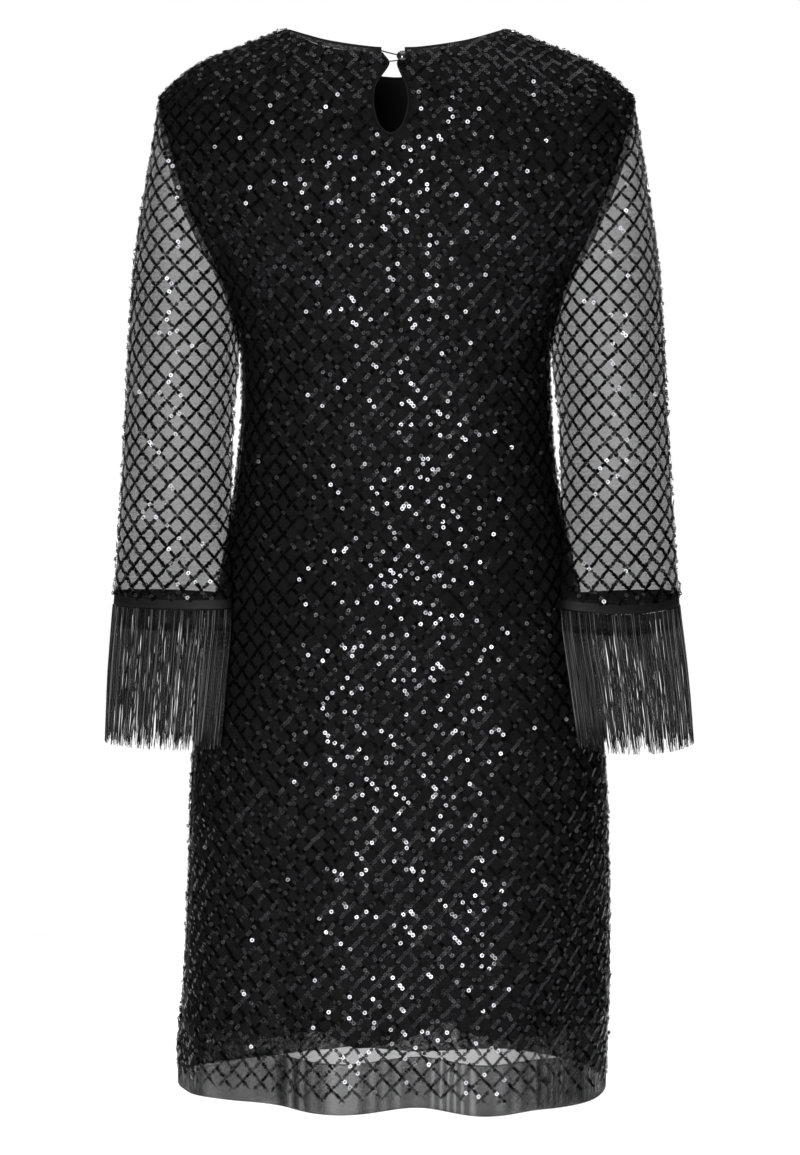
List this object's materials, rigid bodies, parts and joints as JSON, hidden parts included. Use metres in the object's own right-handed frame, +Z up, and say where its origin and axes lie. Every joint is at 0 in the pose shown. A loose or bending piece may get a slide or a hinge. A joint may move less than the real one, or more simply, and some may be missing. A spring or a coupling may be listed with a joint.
{
  "type": "party dress",
  "caption": "Short black party dress of sequinned diamond net over a jersey lining, with long sheer sleeves, fringed cuffs and a buttoned keyhole back.",
  "frame": {"origin": "midway between the two neck points, where the shoulder seams meet the neck edge", "axes": "+Z up towards the neck, +Y out of the wearer's back, +X towards the wearer's left"},
  "size_m": [0.5037, 0.2588, 0.9227],
  "materials": {
    "sequinned_net": "black net with glossy black sequins",
    "lining_jersey": "matt black knit",
    "cuff_ribbon": "satin black ribbon",
    "fringe_cord": "shiny charcoal thread",
    "button_gloss": "glossy black",
    "loop_cord": "black cord and rolled edge"
  },
  "bodies": {
    "root": {"back_panel": "sequinned_net", "front_panel": "sequinned_net", "sleeve_left": "sequinned_net", "sleeve_right": "sequinned_net", "lining_back": "lining_jersey", "lining_front": "lining_jersey", "cuff_band_left": "cuff_ribbon", "cuff_band_right": "cuff_ribbon", "fringe_left": "fringe_cord", "fringe_right": "fringe_cord", "neck_binding": "loop_cord", "keyhole_binding": "loop_cord", "button": "button_gloss", "button_loop": "loop_cord"}
  },
  "joints": []
}
